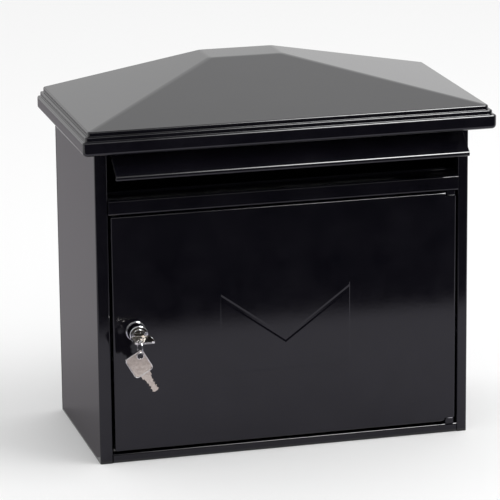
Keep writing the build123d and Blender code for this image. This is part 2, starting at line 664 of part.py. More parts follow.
# Keys: square bow with a hole in one corner, a shoulder, and a blade cut on both edges
BOW_CORNER = 3.5
SHOULDER_WIDTH = 9.6
SHOULDER_LENGTH = 4.2
TIP_HALF = 1.8
TIP_TAPER = 1.6
CUT_PITCH = 3.2
CUT_DEPTHS = (0.5, 1.1, 1.3, 0.9)
CUT_MOUTH = 3.0
CUT_FLOOR = 1.6
CUT_PAST = 0.1
bow_low = -BOW_LENGTH / 2
tip = bow_low - BLADE_LENGTH
half_blade = BLADE_WIDTH / 2

key_outline = RectangleRounded(BOW_WIDTH, BOW_LENGTH, BOW_CORNER)
key_outline += Pos(0, bow_low - SHOULDER_LENGTH / 2 + 1) * Rectangle(SHOULDER_WIDTH, SHOULDER_LENGTH + 2)
key_outline += Polygon(
    (-half_blade, bow_low), (half_blade, bow_low), (half_blade, tip + TIP_TAPER),
    (TIP_HALF, tip), (-TIP_HALF, tip), (-half_blade, tip + TIP_TAPER), align=None,
)
for number, cut in enumerate(CUT_DEPTHS):
    level = bow_low - SHOULDER_LENGTH - CUT_PITCH * (number + 1)
    for side in (-1, 1):
        mouth = side * (half_blade + CUT_PAST)
        floor = side * (half_blade - cut)
        key_outline -= Polygon(
            (mouth, level - CUT_MOUTH / 2), (mouth, level + CUT_MOUTH / 2),
            (floor, level + CUT_FLOOR / 2), (floor, level - CUT_FLOOR / 2), align=None,
        )
key_outline -= Pos(*KEY_HOLE_OFFSET) * Circle(KEY_HOLE_RADIUS)
key_blank = extrude(key_outline, KEY_THICKNESS / 2, both=True)

# The key in the lock lies flat, its blade pointing into the keyway
bow_y = plug_y - KEY_GAP - BOW_LENGTH / 2
pieces["key"] = Pos(LOCK_X, bow_y, lock_z) * Rot(0, 0, 180) * key_blank

# The ring hangs through the bow's hole, round the bridge at its front edge
RING_FORWARD = 0.4
RING_ASIDE = 0.5
RING_DROP = 3.75
ring_x = LOCK_X - KEY_HOLE_OFFSET[0] - RING_ASIDE
ring_y = bow_y - BOW_LENGTH / 2 + RING_FORWARD
ring_z = lock_z - RING_DROP
standing_ring = Rot(0, 90, 0) * Torus(RING_RADIUS, RING_WIRE)
pieces["key_ring"] = Pos(ring_x, ring_y, ring_z) * Rot(0, 0, RING_TURN) * standing_ring

# The spare key hangs from the bottom of the ring, parallel to the door
HANG_GAP = 0.3
hang_z = ring_z - RING_RADIUS + RING_WIRE + HANG_GAP - KEY_HOLE_RADIUS
hole_at_origin = Pos(-KEY_HOLE_OFFSET[0], -KEY_HOLE_OFFSET[1]) * key_blank
standing_key = Rot(90, 0, 0) * hole_at_origin
pieces["spare_key"] = Pos(ring_x, ring_y, hang_z) * Rot(0, -SPARE_KEY_LEAN, 0) * standing_key

os.makedirs("parts", exist_ok=True)
for name, piece in pieces.items():
    export_step(piece, f"parts/{name}.step")
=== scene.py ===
import math

import bmesh
import bpy
from mathutils import Matrix, Vector


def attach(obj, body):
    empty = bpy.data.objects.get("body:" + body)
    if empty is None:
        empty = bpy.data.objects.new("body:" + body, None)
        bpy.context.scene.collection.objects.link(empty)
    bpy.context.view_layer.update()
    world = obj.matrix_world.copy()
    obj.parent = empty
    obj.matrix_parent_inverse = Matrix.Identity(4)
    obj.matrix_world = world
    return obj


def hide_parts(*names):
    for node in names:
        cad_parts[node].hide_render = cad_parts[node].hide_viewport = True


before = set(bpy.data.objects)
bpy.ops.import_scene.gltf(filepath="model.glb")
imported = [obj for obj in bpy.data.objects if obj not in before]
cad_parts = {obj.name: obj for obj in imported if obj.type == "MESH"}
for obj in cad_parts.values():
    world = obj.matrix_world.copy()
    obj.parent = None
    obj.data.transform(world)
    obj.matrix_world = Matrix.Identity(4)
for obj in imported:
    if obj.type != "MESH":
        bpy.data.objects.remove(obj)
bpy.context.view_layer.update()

# Back panel: a flat steel sheet that closes the box against the wall, drilled for four wall screws.
# It is spot welded to the flanges of the walls and the floor, and the finished box is then
# powder coated gloss black, which leaves a fine orange peel over the slow waves of the sheet.
PAINT_DEEP = (0.0026, 0.0024, 0.0042, 1)
PAINT_DUSTY = (0.0056, 0.0052, 0.0078, 1)
PAINT_GLOSS = (0.07, 0.125)
PAINT_IOR = 1.5
PEEL_SCALE = 330.0
PEEL_HEIGHT = 0.000009
WAVE_SCALE = 7.0
WAVE_HEIGHT = 0.00012
DUST_SCALE = 26.0
NOISE_LOW, NOISE_HIGH = 0.3, 0.7
CRISP_ANGLE = math.radians(30)
WELD_GAP = 0.00001
FACE_WEIGHT = 100


def add_node(material, kind, **values):
    """Node of a material, with the values of its inputs given by their names."""
    node = material.node_tree.nodes.new(kind)
    for key, value in values.items():
        node.inputs[key.replace("_", " ")].default_value = value
    return node


def finish(name):
    """New material, its shader, its links and the coordinates of the piece in metres."""
    material = bpy.data.materials.new(name)
    material.use_nodes = True
    shader = material.node_tree.nodes["Principled BSDF"]
    place = add_node(material, "ShaderNodeTexCoord").outputs["Object"]
    return material, shader, material.node_tree.links, place


def ranged(material, source, low, high):
    """Value of a texture, stretched from its usual middle band to a low and a high end."""
    node = add_node(
        material, "ShaderNodeMapRange", From_Min=NOISE_LOW, From_Max=NOISE_HIGH, To_Min=low, To_Max=high
    )
    material.node_tree.links.new(source, node.inputs["Value"])
    return node.outputs["Result"]


def between(material, source, first, second):
    """Colour that runs from the first to the second with a value."""
    node = add_node(material, "ShaderNodeMix")
    node.data_type = "RGBA"
    ends = [socket for socket in node.inputs if socket.type == "RGBA"]
    ends[0].default_value = first
    ends[1].default_value = second
    material.node_tree.links.new(source, node.inputs["Factor"])
    return next(socket for socket in node.outputs if socket.type == "RGBA")


def bumped(material, height, distance, under=None):
    """Normal of a surface raised by a texture, over another bumped normal."""
    node = add_node(material, "ShaderNodeBump", Strength=1.0, Distance=distance)
    material.node_tree.links.new(height, node.inputs["Height"])
    if under:
        material.node_tree.links.new(under, node.inputs["Normal"])
    return node.outputs["Normal"]


def gloss_paint():
    """Black powder coat: orange peel, slow sheet waves, and a thin film of dust that dulls it in places."""
    material, shader, links, place = finish("gloss_black_paint")
    peel = add_node(material, "ShaderNodeTexNoise", Scale=PEEL_SCALE, Detail=1.5, Roughness=0.45)
    wave = add_node(material, "ShaderNodeTexNoise", Scale=WAVE_SCALE, Detail=0.5, Roughness=0.4)
    dust = add_node(material, "ShaderNodeTexNoise", Scale=DUST_SCALE, Detail=6.0, Roughness=0.65)
    for texture in (peel, wave, dust):
        links.new(place, texture.inputs["Vector"])
    film = ranged(material, dust.outputs["Fac"], 0.0, 1.0)
    links.new(between(material, film, PAINT_DEEP, PAINT_DUSTY), shader.inputs["Base Color"])
    links.new(ranged(material, dust.outputs["Fac"], *PAINT_GLOSS), shader.inputs["Roughness"])
    slow = bumped(material, wave.outputs["Fac"], WAVE_HEIGHT)
    links.new(bumped(material, peel.outputs["Fac"], PEEL_HEIGHT, slow), shader.inputs["Normal"])
    shader.inputs["IOR"].default_value = PAINT_IOR
    return material


def dress(material, *nodes):
    """Finish on solids that keep their own shape: round faces run smooth and folds stay crisp."""
    for node in nodes:
        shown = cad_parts[node]
        for material_slot in shown.material_slots:
            material_slot.material = material
        shown.data.shade_smooth()
        shown.modifiers.new("weld", "WELD").merge_threshold = WELD_GAP
        shown.modifiers.new("crisp", "EDGE_SPLIT").split_angle = CRISP_ANGLE
        shown.modifiers.new("flat", "WEIGHTED_NORMAL").weight = FACE_WEIGHT


paint = gloss_paint()
dress(paint, "back_panel")

# Floor tray: one sheet folded up all round, with a rounded lip along the front and two drain holes.
# It is spot welded between the walls and to the back panel, and painted with the box.
dress(paint, "floor_tray")

# Side walls: each is one sheet with the front flange and its return, the wall, a flange along the
# back panel and a short flange on top for the roof, folded in a press brake and painted gloss black.
MM = 0.001
HALF = 180.0
MOUTHS = {-1: 167.8, 1: 170.0}
FRONT = -176.0
REAR = -1.0
UNDERSIDE = -130.0
WALL_TOP = UNDERSIDE + 318.0
SHEET = 1.0
BEND = 1.8
BEND_STEPS = 5
RETURN_DEPTH = 11.0
REAR_FLANGE = 16.0
TOP_FLANGE = ((HALF - REAR_FLANGE, HALF - SHEET), (FRONT + 40.0, FRONT + 165.0))
CUT_EDGE = 0.18
CUT_ANGLE = math.radians(25)
CUT_STEPS = 2


def line_of(bm, points):
    """Vertices through the points, joined by edges in order."""
    line = [bm.verts.new(point) for point in points]
    for pair in zip(line, line[1:]):
        bm.edges.new(pair)
    return line


def edges_along(bm, line):
    """Edges that join the vertices of a line in order."""
    return [bm.edges.get(pair) for pair in zip(line, line[1:])]


def pulled(bm, line, step):
    """Draws a line of vertices out into a strip, and returns the strip's far line in the same order."""
    made = bmesh.ops.extrude_edge_only(bm, edges=edges_along(bm, line))["geom"]
    fresh = {item for item in made if isinstance(item, bmesh.types.BMVert)}
    bmesh.ops.translate(bm, vec=step, verts=list(fresh))
    far_ends = []
    for vert in line:
        far_ends += [e.other_vert(vert) for e in vert.link_edges if e.other_vert(vert) in fresh]
    return far_ends


def rounded(bm, edges, radius, steps=BEND_STEPS):
    """Rounds edges to a radius."""
    bmesh.ops.bevel(
        bm, geom=edges, offset=radius, offset_type="OFFSET", segments=steps, profile=0.5,
        affect="EDGES", material=-1, clamp_overlap=True,
    )


def folded_strip(bm, points, step, bend=BEND):
    """Strip drawn out from a section, rounded at its folds."""
    near = line_of(bm, points)
    far = pulled(bm, near, step)
    folds = [bm.edges.get(pair) for pair in zip(near[1:-1], far[1:-1])]
    rounded(bm, folds, bend)
    bmesh.ops.recalc_face_normals(bm, faces=bm.faces)


def piece(name, bm, material, body, nodes, sheet=0.0, cut=CUT_EDGE):
    """Piece drawn in millimetres that rides on a body; a sheet gets its thickness behind its face."""
    bmesh.ops.scale(bm, vec=(MM, MM, MM), verts=bm.verts)
    mesh = bpy.data.meshes.new(name)
    bm.to_mesh(mesh)
    bm.free()
    mesh.shade_smooth()
    mesh.materials.append(material)
    made = bpy.data.objects.new(name, mesh)
    bpy.context.scene.collection.objects.link(made)
    if sheet:
        wall = made.modifiers.new("sheet", "SOLIDIFY")
        wall.thickness = sheet * MM
        wall.offset = -1
        wall.use_even_offset = True
    eased = made.modifiers.new("cut_edges", "BEVEL")
    eased.width = cut * MM
    eased.segments = CUT_STEPS
    eased.limit_method = "ANGLE"
    eased.angle_limit = CUT_ANGLE
    flat = made.modifiers.new("flat", "WEIGHTED_NORMAL")
    flat.weight = FACE_WEIGHT
    flat.keep_sharp = True
    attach(made, body)
    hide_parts(*nodes)
    return made


def painted_sheet(name, bm, body, *nodes):
    """Piece of painted steel sheet."""
    return piece(name, bm, paint, body, nodes, sheet=SHEET)


def tab(bm, points, step, facing):
    """Flat tab drawn out from a line of two points, with its outer face turned to a direction."""
    near = line_of(bm, points)
    far = pulled(bm, near, step)
    plate = bm.faces.get(near + far[::-1])
    plate.normal_update()
    if plate.normal.dot(facing) < 0:
        plate.normal_flip()


for side, side_name in ((-1, "left"), (1, "right")):
    wall = bmesh.new()
    mouth = MOUTHS[side]
    section = (
        (mouth, FRONT + RETURN_DEPTH), (mouth, FRONT), (HALF, FRONT), (HALF, REAR),
        (HALF - REAR_FLANGE, REAR),
    )
    folded_strip(wall, [(side * x, y, UNDERSIDE) for x, y in section], (0, 0, WALL_TOP - UNDERSIDE))
    (flange_in, flange_out), (flange_front, flange_rear) = TOP_FLANGE
    flange = [(side * x, flange_front, WALL_TOP) for x in (flange_in, flange_out)]
    tab(wall, flange, (0, flange_rear - flange_front, 0), Vector((0, 0, 1)))
    painted_sheet(f"side_wall_{side_name}", wall, "body", f"side_panel_{side_name}")

# Slot rail: a channel folded from sheet across the front, below the letter slot, with soft bends and an
# upstand behind the flap. A tab at each end is riveted to the wall's return, and it is painted with the box.
RAIL_GAP = 0.02
RAIL_LOW = UNDERSIDE + 239.2
RAIL_HIGH = UNDERSIDE + 253.8
RAIL_FACE = FRONT - 1.2
RAIL_REAR = FRONT + 20.5
RAIL_UNDER = FRONT + 14.0
RAIL_UPSTAND = UNDERSIDE + 257.0
TAB_REAR = FRONT + 10.5
TAB_INSET = 2.5
RAIL_BEND = 2.3

rail = bmesh.new()
rail_section = (
    (RAIL_UNDER, RAIL_LOW), (RAIL_FACE, RAIL_LOW), (RAIL_FACE, RAIL_HIGH), (RAIL_REAR, RAIL_HIGH),
    (RAIL_REAR, RAIL_UPSTAND),
)
rail_ends = {side: side * (mouth - RAIL_GAP) for side, mouth in MOUTHS.items()}
rail_line = [(rail_ends[-1], y, z) for y, z in rail_section]
folded_strip(rail, rail_line, (rail_ends[1] - rail_ends[-1], 0, 0), bend=RAIL_BEND)
for side, rail_end in rail_ends.items():
    end = [(rail_end, y, RAIL_LOW + TAB_INSET) for y in (RAIL_FACE + SHEET, TAB_REAR)]
    tab(rail, end, (0, 0, RAIL_HIGH - RAIL_LOW - 2 * TAB_INSET), Vector((side, 0, 0)))
painted_sheet("slot_channel", rail, "body", "slot_rail")

# Strike plate and hinge blocks: a steel angle that the lock's cam catches, and two small blocks that
# carry the door's pins. All are welded to the box before it is painted.
dress(paint, "strike_plate", "upper_hinge_block", "lower_hinge_block")

# Rivets, hinge pins and washers: bright zinc plated steel, pressed or riveted in after the painting.
# The plating shows a faint cloudy grain.
ZINC_LIGHT = (0.63, 0.63, 0.61, 1)
ZINC_DULL = (0.46, 0.46, 0.45, 1)
ZINC_GLOSS = (0.22, 0.4)
ZINC_GRAIN = (420.0, 420.0, 160.0)
ZINC_RELIEF = 0.000006


def plated_metal(name, light, dull, gloss, grain, relief):
    """Plated metal whose tone and gloss vary along a grain."""
    material, shader, links, place = finish(name)
    stretch = add_node(material, "ShaderNodeMapping", Scale=grain)
    links.new(place, stretch.inputs["Vector"])
    cloud = add_node(material, "ShaderNodeTexNoise", Scale=1.0, Detail=4.0, Roughness=0.6)
    links.new(stretch.outputs["Vector"], cloud.inputs["Vector"])
    tone = ranged(material, cloud.outputs["Fac"], 0.0, 1.0)
    links.new(between(material, tone, light, dull), shader.inputs["Base Color"])
    links.new(ranged(material, cloud.outputs["Fac"], *gloss), shader.inputs["Roughness"])
    links.new(bumped(material, cloud.outputs["Fac"], relief), shader.inputs["Normal"])
    shader.inputs["Metallic"].default_value = 1.0
    return material


zinc = plated_metal("zinc_plate", ZINC_LIGHT, ZINC_DULL, ZINC_GLOSS, ZINC_GRAIN, ZINC_RELIEF)
dress(zinc, "rail_rivets", "upper_hinge_pin", "lower_hinge_pin", "hinge_washers")

# Flap pivot: a joggled steel lug welded to each side wall and painted, with a zinc plated rod
# through both and a push-on clip at each end.
dress(paint, "flap_lug_left", "flap_lug_right")
dress(zinc, "flap_rod", "flap_rod_clips")

# Letter flap: a steel sheet curled round the pivot rod at the top and rolled back at its lower edge,
# so that it is stiff and has no sharp lip. It is painted black and stands half open.
FLAP_LEFT, FLAP_RIGHT = -167.2, 169.4
FLAP_LENGTH = 60.8
FLAP_TILT = 55.0
FLAP_PIVOT = Vector((0, FRONT + 14.8, UNDERSIDE + 315.6))
FLAP_ROLL = 2.6
ROLL_TURN = 160.0
ROLL_RETURN = 3.0
KNUCKLE = 3.06
KNUCKLE_TURN = 220.0
ROLL_STEPS = 10
KNUCKLE_STEPS = 18

flap = bmesh.new()
flap_top, flap_foot = line_of(
    flap, [(FLAP_LEFT, -KNUCKLE, 0), (FLAP_LEFT, -KNUCKLE, FLAP_ROLL - FLAP_LENGTH)]
)
bmesh.ops.spin(
    flap, geom=[flap_top], cent=(0, 0, 0), axis=(1, 0, 0), angle=math.radians(-KNUCKLE_TURN),
    steps=KNUCKLE_STEPS,
)
roll_end = bmesh.ops.spin(
    flap, geom=[flap_foot], cent=(0, FLAP_ROLL - KNUCKLE, FLAP_ROLL - FLAP_LENGTH), axis=(1, 0, 0),
    angle=math.radians(ROLL_TURN), steps=ROLL_STEPS,
)["geom_last"]
tail = bmesh.ops.extrude_vert_indiv(flap, verts=[v for v in roll_end if isinstance(v, bmesh.types.BMVert)])
turn = math.radians(ROLL_TURN)
bmesh.ops.translate(
    flap, vec=(0, ROLL_RETURN * math.sin(turn), -ROLL_RETURN * math.cos(turn)), verts=tail["verts"]
)
strip = bmesh.ops.extrude_edge_only(flap, edges=flap.edges)["geom"]
far_side = [item for item in strip if isinstance(item, bmesh.types.BMVert)]
bmesh.ops.translate(flap, vec=(FLAP_RIGHT - FLAP_LEFT, 0, 0), verts=far_side)
hang = Matrix.Translation(FLAP_PIVOT) @ Matrix.Rotation(math.radians(-FLAP_TILT), 4, "X")
bmesh.ops.transform(flap, matrix=hang, verts=flap.verts)
bmesh.ops.recalc_face_normals(flap, faces=flap.faces)
painted_sheet("flap_sheet", flap, "letter_flap", "letter_flap")

# Roof: a deep pressed steel cap with a rounded fascia, two moulding steps, three low slopes and a
# small flat top. It overhangs the box on three sides and is held from inside by brackets and screws.
ROOF_HALF = HALF + 16.7
ROOF_FRONT = FRONT - 34.0
ROOF_LOW = UNDERSIDE + 304.0
FASCIA_TOP = UNDERSIDE + 317.6
LEDGE = UNDERSIDE + 321.6
EAVE = UNDERSIDE + 325.7
RIDGE = UNDERSIDE + 352.5
MOULDING = 3.0
ROOF_LIP = 12.0
ROOF_CORNER = 4.6
CORNER_STEPS = 8
RIDGE_HALF = 36.0
RIDGE_FRONT = -39.7
RIDGE_SOFT = 2.4
RIDGE_DROPS = (0.4, 0.1)
FOOT_ROUND = 4.0
FASCIA_ROUND = 2.0
LEDGE_ROUND = 1.2
EAVE_ROUND = 1.3
STEP_ROOT = 0.5
ROOF_TIERS = (
    (ROOF_HALF, ROOF_FRONT, ROOF_LOW, FOOT_ROUND),
    (ROOF_HALF, ROOF_FRONT, FASCIA_TOP, FASCIA_ROUND),
    (ROOF_HALF - MOULDING, ROOF_FRONT + MOULDING, FASCIA_TOP, STEP_ROOT),
    (ROOF_HALF - MOULDING, ROOF_FRONT + MOULDING, LEDGE, LEDGE_ROUND),
    (ROOF_HALF - 2 * MOULDING, ROOF_FRONT + 2 * MOULDING, LEDGE, STEP_ROOT),
    (ROOF_HALF - 2 * MOULDING, ROOF_FRONT + 2 * MOULDING, EAVE, EAVE_ROUND),
    (RIDGE_HALF + RIDGE_SOFT, RIDGE_FRONT - RIDGE_SOFT, RIDGE - RIDGE_DROPS[0], 0),
    (RIDGE_HALF, RIDGE_FRONT, RIDGE - RIDGE_DROPS[1], 0),
    (RIDGE_HALF - RIDGE_SOFT, RIDGE_FRONT + RIDGE_SOFT, RIDGE, 0),
)

roof = bmesh.new()
half = ROOF_HALF - ROOF_LIP
front = ROOF_FRONT + ROOF_LIP
ring = []
for side, turn in ((-1, 0), (1, 90)):
    centre = Vector((side * (half - ROOF_CORNER), front + ROOF_CORNER, ROOF_LOW))
    for step in range(CORNER_STEPS + 1):
        angle = math.radians(turn + 90 * step / CORNER_STEPS)
        ring.append(centre + ROOF_CORNER * Vector((-math.cos(angle), -math.sin(angle), 0)))
ring = line_of(roof, [(-half, 0, ROOF_LOW), *ring, (half, 0, ROOF_LOW)])
rings = [ring]
for tier_half, tier_front, height, _ in ROOF_TIERS:
    ring = pulled(roof, ring, (0, 0, height - ring[0].co.z))
    for side in (-1, 1):
        flank = [v for v in ring if v.co.x * side > 0]
        bmesh.ops.translate(roof, vec=(side * (tier_half - half), 0, 0), verts=flank)
    bmesh.ops.translate(roof, vec=(0, tier_front - front, 0), verts=ring[1:-1])
    half, front = tier_half, tier_front
    rings.append(ring)
roof.faces.new(rings[-1])
roof.faces.new([ring[0] for ring in rings] + [ring[-1] for ring in reversed(rings)])
for ring, (*_, radius) in zip(rings[1:], ROOF_TIERS):
    if radius:
        rounded(roof, edges_along(roof, ring), radius)
bmesh.ops.recalc_face_normals(roof, faces=roof.faces)
painted_sheet("roof_shell", roof, "body", "roof_cap")

# Roof brackets, screws and nuts: folded painted strips between the walls and the roof, and zinc
# plated screws put in from inside the box.
dress(paint, "roof_bracket_left", "roof_bracket_right")
dress(zinc, "roof_screws", "roof_nuts")

# Door: a shallow tray folded from one sheet, with an envelope pressed into its face, a hole for the
# lock, and a notch at each right-hand corner for the hinge. It is painted gloss black.
DOOR_LEFT, DOOR_RIGHT = -165.8, 167.8
DOOR_LOW, DOOR_HIGH = UNDERSIDE + 11.6, UNDERSIDE + 238.2
DOOR_FACE = FRONT - 1.5
DOOR_TRAY = 12.0
NOTCH_LEFT = 157.3
NOTCH_HEIGHT = 3.6
SIGN_HALF = 63.0
SIGN_LOW, SIGN_HIGH = UNDERSIDE + 79.0, UNDERSIDE + 159.0
SIGN_TIP = UNDERSIDE + 108.0
SIGN_SLOPE = 0.74
SIGN_RISE = 0.3
FOLD_HALF = 2.6
FOLD_DEPTH = 0.6
FOLD_START = 5.0
FOLD_STEPS = 3
FOLD_REACH = (0.05, 1.1)
SLOPE_FACING = (-0.9999, -0.5)
TOUCH = 0.001
LOCK = Vector((-144.3, 0, -2.2))
LOCK_HOLE = 8.1
HOLE_STEPS = 48
TOWARDS_WALL = Matrix.Rotation(math.radians(90), 4, "X")

door = bmesh.new()
outline = line_of(door, [
    (x, DOOR_FACE, z) for x, z in (
        (NOTCH_LEFT, DOOR_HIGH), (DOOR_LEFT, DOOR_HIGH), (DOOR_LEFT, DOOR_LOW), (NOTCH_LEFT, DOOR_LOW),
        (NOTCH_LEFT, DOOR_LOW + NOTCH_HEIGHT), (DOOR_RIGHT, DOOR_LOW + NOTCH_HEIGHT),
        (DOOR_RIGHT, DOOR_HIGH - NOTCH_HEIGHT), (NOTCH_LEFT, DOOR_HIGH - NOTCH_HEIGHT),
    )
])
sign = line_of(door, [
    (x, DOOR_FACE, z) for x, z in (
        (-SIGN_HALF, SIGN_LOW), (SIGN_HALF, SIGN_LOW), (SIGN_HALF, SIGN_HIGH), (-SIGN_HALF, SIGN_HIGH),
    )
])
for loop in (outline, sign):
    door.edges.new((loop[-1], loop[0]))
bmesh.ops.create_circle(
    door, radius=LOCK_HOLE, segments=HOLE_STEPS,
    matrix=Matrix.Translation(LOCK + Vector((0, DOOR_FACE, 0))) @ TOWARDS_WALL,
)
bmesh.ops.triangle_fill(door, use_beauty=True, edges=door.edges, normal=(0, -1, 0))
envelope = door.faces.new(sign)
tray_lines = (outline[:4], outline[5:7])
for line in tray_lines:
    pulled(door, line, (0, DOOR_TRAY, 0))
bmesh.ops.recalc_face_normals(door, faces=door.faces)
folds = [edge for line in tray_lines for edge in edges_along(door, line)]
tray_corners = [
    e for v in outline[1:3] for e in v.link_edges if abs(e.verts[0].co.y - e.verts[1].co.y) > BEND
]
rounded(door, folds + tray_corners, BEND)
bmesh.ops.inset_region(door, faces=[envelope], thickness=SIGN_SLOPE, depth=SIGN_RISE, use_even_offset=True)
sign_sides = [e for e in envelope.edges if abs(e.verts[0].co.x - e.verts[1].co.x) < TOUCH]
fold_starts = []
for side_edge in sign_sides:
    top = max(side_edge.verts, key=lambda v: v.co.z)
    fold_starts.append(bmesh.utils.edge_split(side_edge, top, FOLD_START / side_edge.calc_length())[1])
ends = [start.co.copy() for start in fold_starts]
tip = Vector((0, ends[0].y, SIGN_TIP))
fold_face, _ = bmesh.utils.face_split(envelope, *fold_starts, coords=[tip])
fold_tip = min(fold_face.verts, key=lambda v: (v.co - tip).length)
arms = [e for e in fold_tip.link_edges if e.other_vert(fold_tip) in fold_starts]
rounded(door, arms, FOLD_HALF, steps=FOLD_STEPS)


def in_fold(vert):
    """Tells whether a vertex lies along the middle of the V, away from its ends."""
    for end in ends:
        arm = tip - end
        reach = (vert.co - end).dot(arm) / arm.length_squared
        aside = (vert.co - end - reach * arm).length
        if aside < FOLD_HALF / 2 and FOLD_REACH[0] < reach < FOLD_REACH[1]:
            return True
    return False


bmesh.ops.translate(door, vec=(0, FOLD_DEPTH, 0), verts=[v for v in door.verts if in_fold(v)])
door.normal_update()
for face in door.faces:
    middle = face.calc_center_median()
    on_sign = abs(middle.x) < SIGN_HALF and SIGN_LOW < middle.z < SIGN_HIGH
    if on_sign and SLOPE_FACING[0] < face.normal.y < SLOPE_FACING[1]:
        for edge in face.edges:
            edge.smooth = False
painted_sheet("door_sheet", door, "door", "door_panel")

# Door hinge plates: steel angles welded inside the door's right-hand edge, painted with it.
# Each turns on one of the pins in the box.
dress(paint, "door_hinge_plate_upper", "door_hinge_plate_lower")

# Lock body: a turned and threaded barrel with a round rosette, bright chrome plated, put through the
# door from the front and clamped by a zinc plated washer and nut.
CHROME_LIGHT = (0.62, 0.62, 0.64, 1)
CHROME_DULL = (0.54, 0.54, 0.56, 1)
CHROME_GLOSS = (0.03, 0.09)
CHROME_GRAIN = (300.0, 300.0, 300.0)
CHROME_RELIEF = 0.000003
BARREL_FACE = DOOR_FACE - 14.0
ROSETTE_FACE = DOOR_FACE - 1.0
HOUSING_REAR = FRONT + 14.8
PLUG_BORE = 5.56
BARREL = 8.8
ROSETTE = 9.6
BARREL_ROUND = 1.3
ROSETTE_ROUND = 0.6
BORE_ROUND = 0.4
THREAD = 7.95
THREAD_ROOT = 7.5
THREAD_PITCH = 1.0
THREAD_START = 1.5
FINE_EDGE = 0.1
ON_RING = 0.01
TURN_STEPS = 72

chrome = plated_metal("bright_chrome", CHROME_LIGHT, CHROME_DULL, CHROME_GLOSS, CHROME_GRAIN, CHROME_RELIEF)
housing = bmesh.new()
turned = [
    (PLUG_BORE, HOUSING_REAR), (PLUG_BORE, BARREL_FACE), (BARREL, BARREL_FACE), (BARREL, ROSETTE_FACE),
    (ROSETTE, ROSETTE_FACE), (ROSETTE, DOOR_FACE), (THREAD, DOOR_FACE),
]
crest = DOOR_FACE + THREAD_START
while crest + THREAD_PITCH < HOUSING_REAR:
    turned += [(THREAD, crest), (THREAD_ROOT, crest + THREAD_PITCH / 2)]
    crest += THREAD_PITCH
turned += [(THREAD, HOUSING_REAR)]


def turned_ring(bm, radius, y):
    """Edges of a turned piece on the lock's axis, at a radius and a depth."""
    def on_ring(vert):
        off_axis = Vector((vert.co.x - LOCK.x, vert.co.z - LOCK.z)).length
        return abs(off_axis - radius) < ON_RING and abs(vert.co.y - y) < ON_RING
    return [e for e in bm.edges if on_ring(e.verts[0]) and on_ring(e.verts[1])]


profile = line_of(housing, [(LOCK.x + radius, y, LOCK.z) for radius, y in turned])
housing.edges.new((profile[-1], profile[0]))
bmesh.ops.spin(
    housing, geom=housing.verts[:] + housing.edges[:], cent=LOCK, axis=(0, 1, 0),
    angle=math.radians(360), steps=TURN_STEPS, use_merge=True,
)
bmesh.ops.remove_doubles(housing, verts=housing.verts, dist=TOUCH)
bmesh.ops.recalc_face_normals(housing, faces=housing.faces)
rounded(housing, turned_ring(housing, BARREL, BARREL_FACE), BARREL_ROUND)
rounded(housing, turned_ring(housing, ROSETTE, ROSETTE_FACE), ROSETTE_ROUND)
rounded(housing, turned_ring(housing, PLUG_BORE, BARREL_FACE), BORE_ROUND)
piece("lock_barrel", housing, chrome, "door", ["lock_housing"], cut=FINE_EDGE)
dress(zinc, "lock_washer", "lock_nut")

# Lock plug: a chromed cylinder with a keyway, turned by the key, with four stamped brass wafers.
# A steel cam is screwed to its square tail with a washer.
BRASS_LIGHT = (0.72, 0.54, 0.25, 1)
BRASS_DULL = (0.50, 0.36, 0.15, 1)

dress(chrome, "lock_plug")
brass = plated_metal("stamped_brass", BRASS_LIGHT, BRASS_DULL, ZINC_GLOSS, ZINC_GRAIN, ZINC_RELIEF)
dress(brass, "lock_wafers")
dress(zinc, "lock_cam", "cam_washer", "cam_screw")

# Keys: stamped brass blanks, satin nickel plated, with a coined rim round the square bow and the ring
# hole, worn bright and given a lighter nickel colour that is also a painted highlight along the rim,
# and a blade cut on both edges. One stands in the lock, the spare hangs.
NICKEL_LIGHT = (0.77, 0.70, 0.59, 1)
NICKEL_DULL = (0.65, 0.57, 0.48, 1)
NICKEL_GLOSS = (0.14, 0.24)
NICKEL_GRAIN = (500.0, 500.0, 500.0)
NICKEL_RELIEF = 0.000006
# The rim's lighter colours are partly wear and partly a painted highlight on the rim.
RIM_LIGHT = (0.88, 0.87, 0.84, 1)
RIM_DULL = (0.78, 0.76, 0.72, 1)
RIM_GLOSS = (0.12, 0.24)
BOW = Vector((19.4, 22.0))
BOW_CORNER = 3.5
BOW_STEPS = 8
BOW_THICKNESS = 1.8
BLADE_THICKNESS = 1.5
RIM_WIDTH = 0.55
RIM_SLOPE = 0.25
RIM_DEPTH = 0.2
KEY_HOLE = Vector((5.0, 6.2, 0))
KEY_HOLE_RADIUS = 2.7
SHOULDER = (4.8, 4.2)
BLADE_HALF = 3.5
BLADE_LENGTH = 20.2
BLADE_ROOT = 1.5
TIP_HALF, TIP_TAPER = 1.8, 1.6
CUT_PITCH = 3.2
CUT_DEPTHS = (0.5, 1.1, 1.3, 0.9)
CUT_MOUTH, CUT_FLOOR = 3.0, 1.6
BOW_PLACE = Vector((LOCK.x, -207.5, LOCK.z))
SPARE_HANG = Vector((-149.8, -218.1, -13.6))
SPARE_LEAN = math.radians(-30.3)

satin = plated_metal("satin_nickel", NICKEL_LIGHT, NICKEL_DULL, NICKEL_GLOSS, NICKEL_GRAIN, NICKEL_RELIEF)
bright_rim = plated_metal("worn_nickel_rim_and_painted_highlight", RIM_LIGHT, RIM_DULL, RIM_GLOSS, NICKEL_GRAIN, NICKEL_RELIEF)


def in_order(items):
    """Items in the order in which they come, each once."""
    return list(dict.fromkeys(items))


